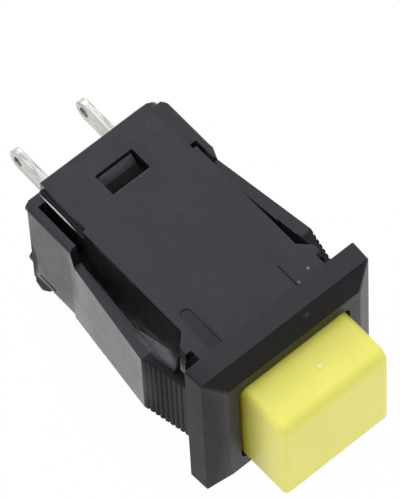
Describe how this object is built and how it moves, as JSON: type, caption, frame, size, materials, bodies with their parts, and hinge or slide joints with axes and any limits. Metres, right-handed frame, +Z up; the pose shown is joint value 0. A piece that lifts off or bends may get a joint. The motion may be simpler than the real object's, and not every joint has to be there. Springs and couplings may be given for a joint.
{
  "type": "self-locking push button switch",
  "caption": "Square snap-in push-push switch: bevelled bezel, yellow cap, black barrel with ratcheted snap wings, and flat solder terminals behind.",
  "frame": {"origin": "centre of the panel cut-out: the middle of the bezel's rear face, on the push axis", "axes": "+Y from the button towards the terminals, the way the button is pressed; +X to the right seen from the front; +Z up out of the label face"},
  "size_m": [0.0154, 0.0307, 0.015],
  "materials": {
    "housing_plastic": "fine satin moulded black plastic",
    "base_plastic": "satin moulded black plastic, rougher at the staked corners",
    "cap_plastic": "slightly translucent yellow plastic, semi-gloss",
    "slider_plastic": "natural white slippery plastic",
    "spring_steel": "drawn bright spring wire",
    "bridge_brass": "stamped bright brass",
    "contact_silver": "silver contact rivets",
    "tinned_brass": "bright tinned brass strip, stamped"
  },
  "bodies": {
    "case": {"housing": "housing_plastic", "rear_base": "base_plastic", "return_spring": "spring_steel", "latch_leaf_spring": "spring_steel", "terminal_left": "tinned_brass", "terminal_right": "tinned_brass", "terminal_contact_left": "contact_silver", "terminal_contact_right": "contact_silver"},
    "button": {"button_cap": "cap_plastic", "slider": "slider_plastic", "contact_spring": "spring_steel"},
    "bridge": {"contact_bridge": "bridge_brass", "bridge_contact_left": "contact_silver", "bridge_contact_right": "contact_silver"},
    "latch": {"latch_wire": "spring_steel"}
  },
  "joints": [
    {"name": "button_slide", "type": "slide", "parent": "case", "child": "button", "axis": [0, 1, 0], "range_m": [0, 0.003], "stiffness_N_per_m": 400, "springref_m": -0.0003, "deforming": ["return_spring"]},
    {"name": "bridge_slide", "type": "slide", "parent": "button", "child": "bridge", "axis": [0, -1, 0], "range_m": [0, 0.0014], "deforming": ["contact_spring"]},
    {"name": "latch_swing", "type": "hinge", "parent": "case", "child": "latch", "pos_m": [0.0035, 0.01755, -0.0016], "axis": [-1, 0, 0], "range_deg": [0, 5.92]}
  ],
  "couplings": [
    {"joint": "bridge_slide", "follows": "button_slide", "ratio": 0.46666},
    {"joint": "latch_swing", "follows": "button_slide", "rad_per_m": 34.4}
  ]
}
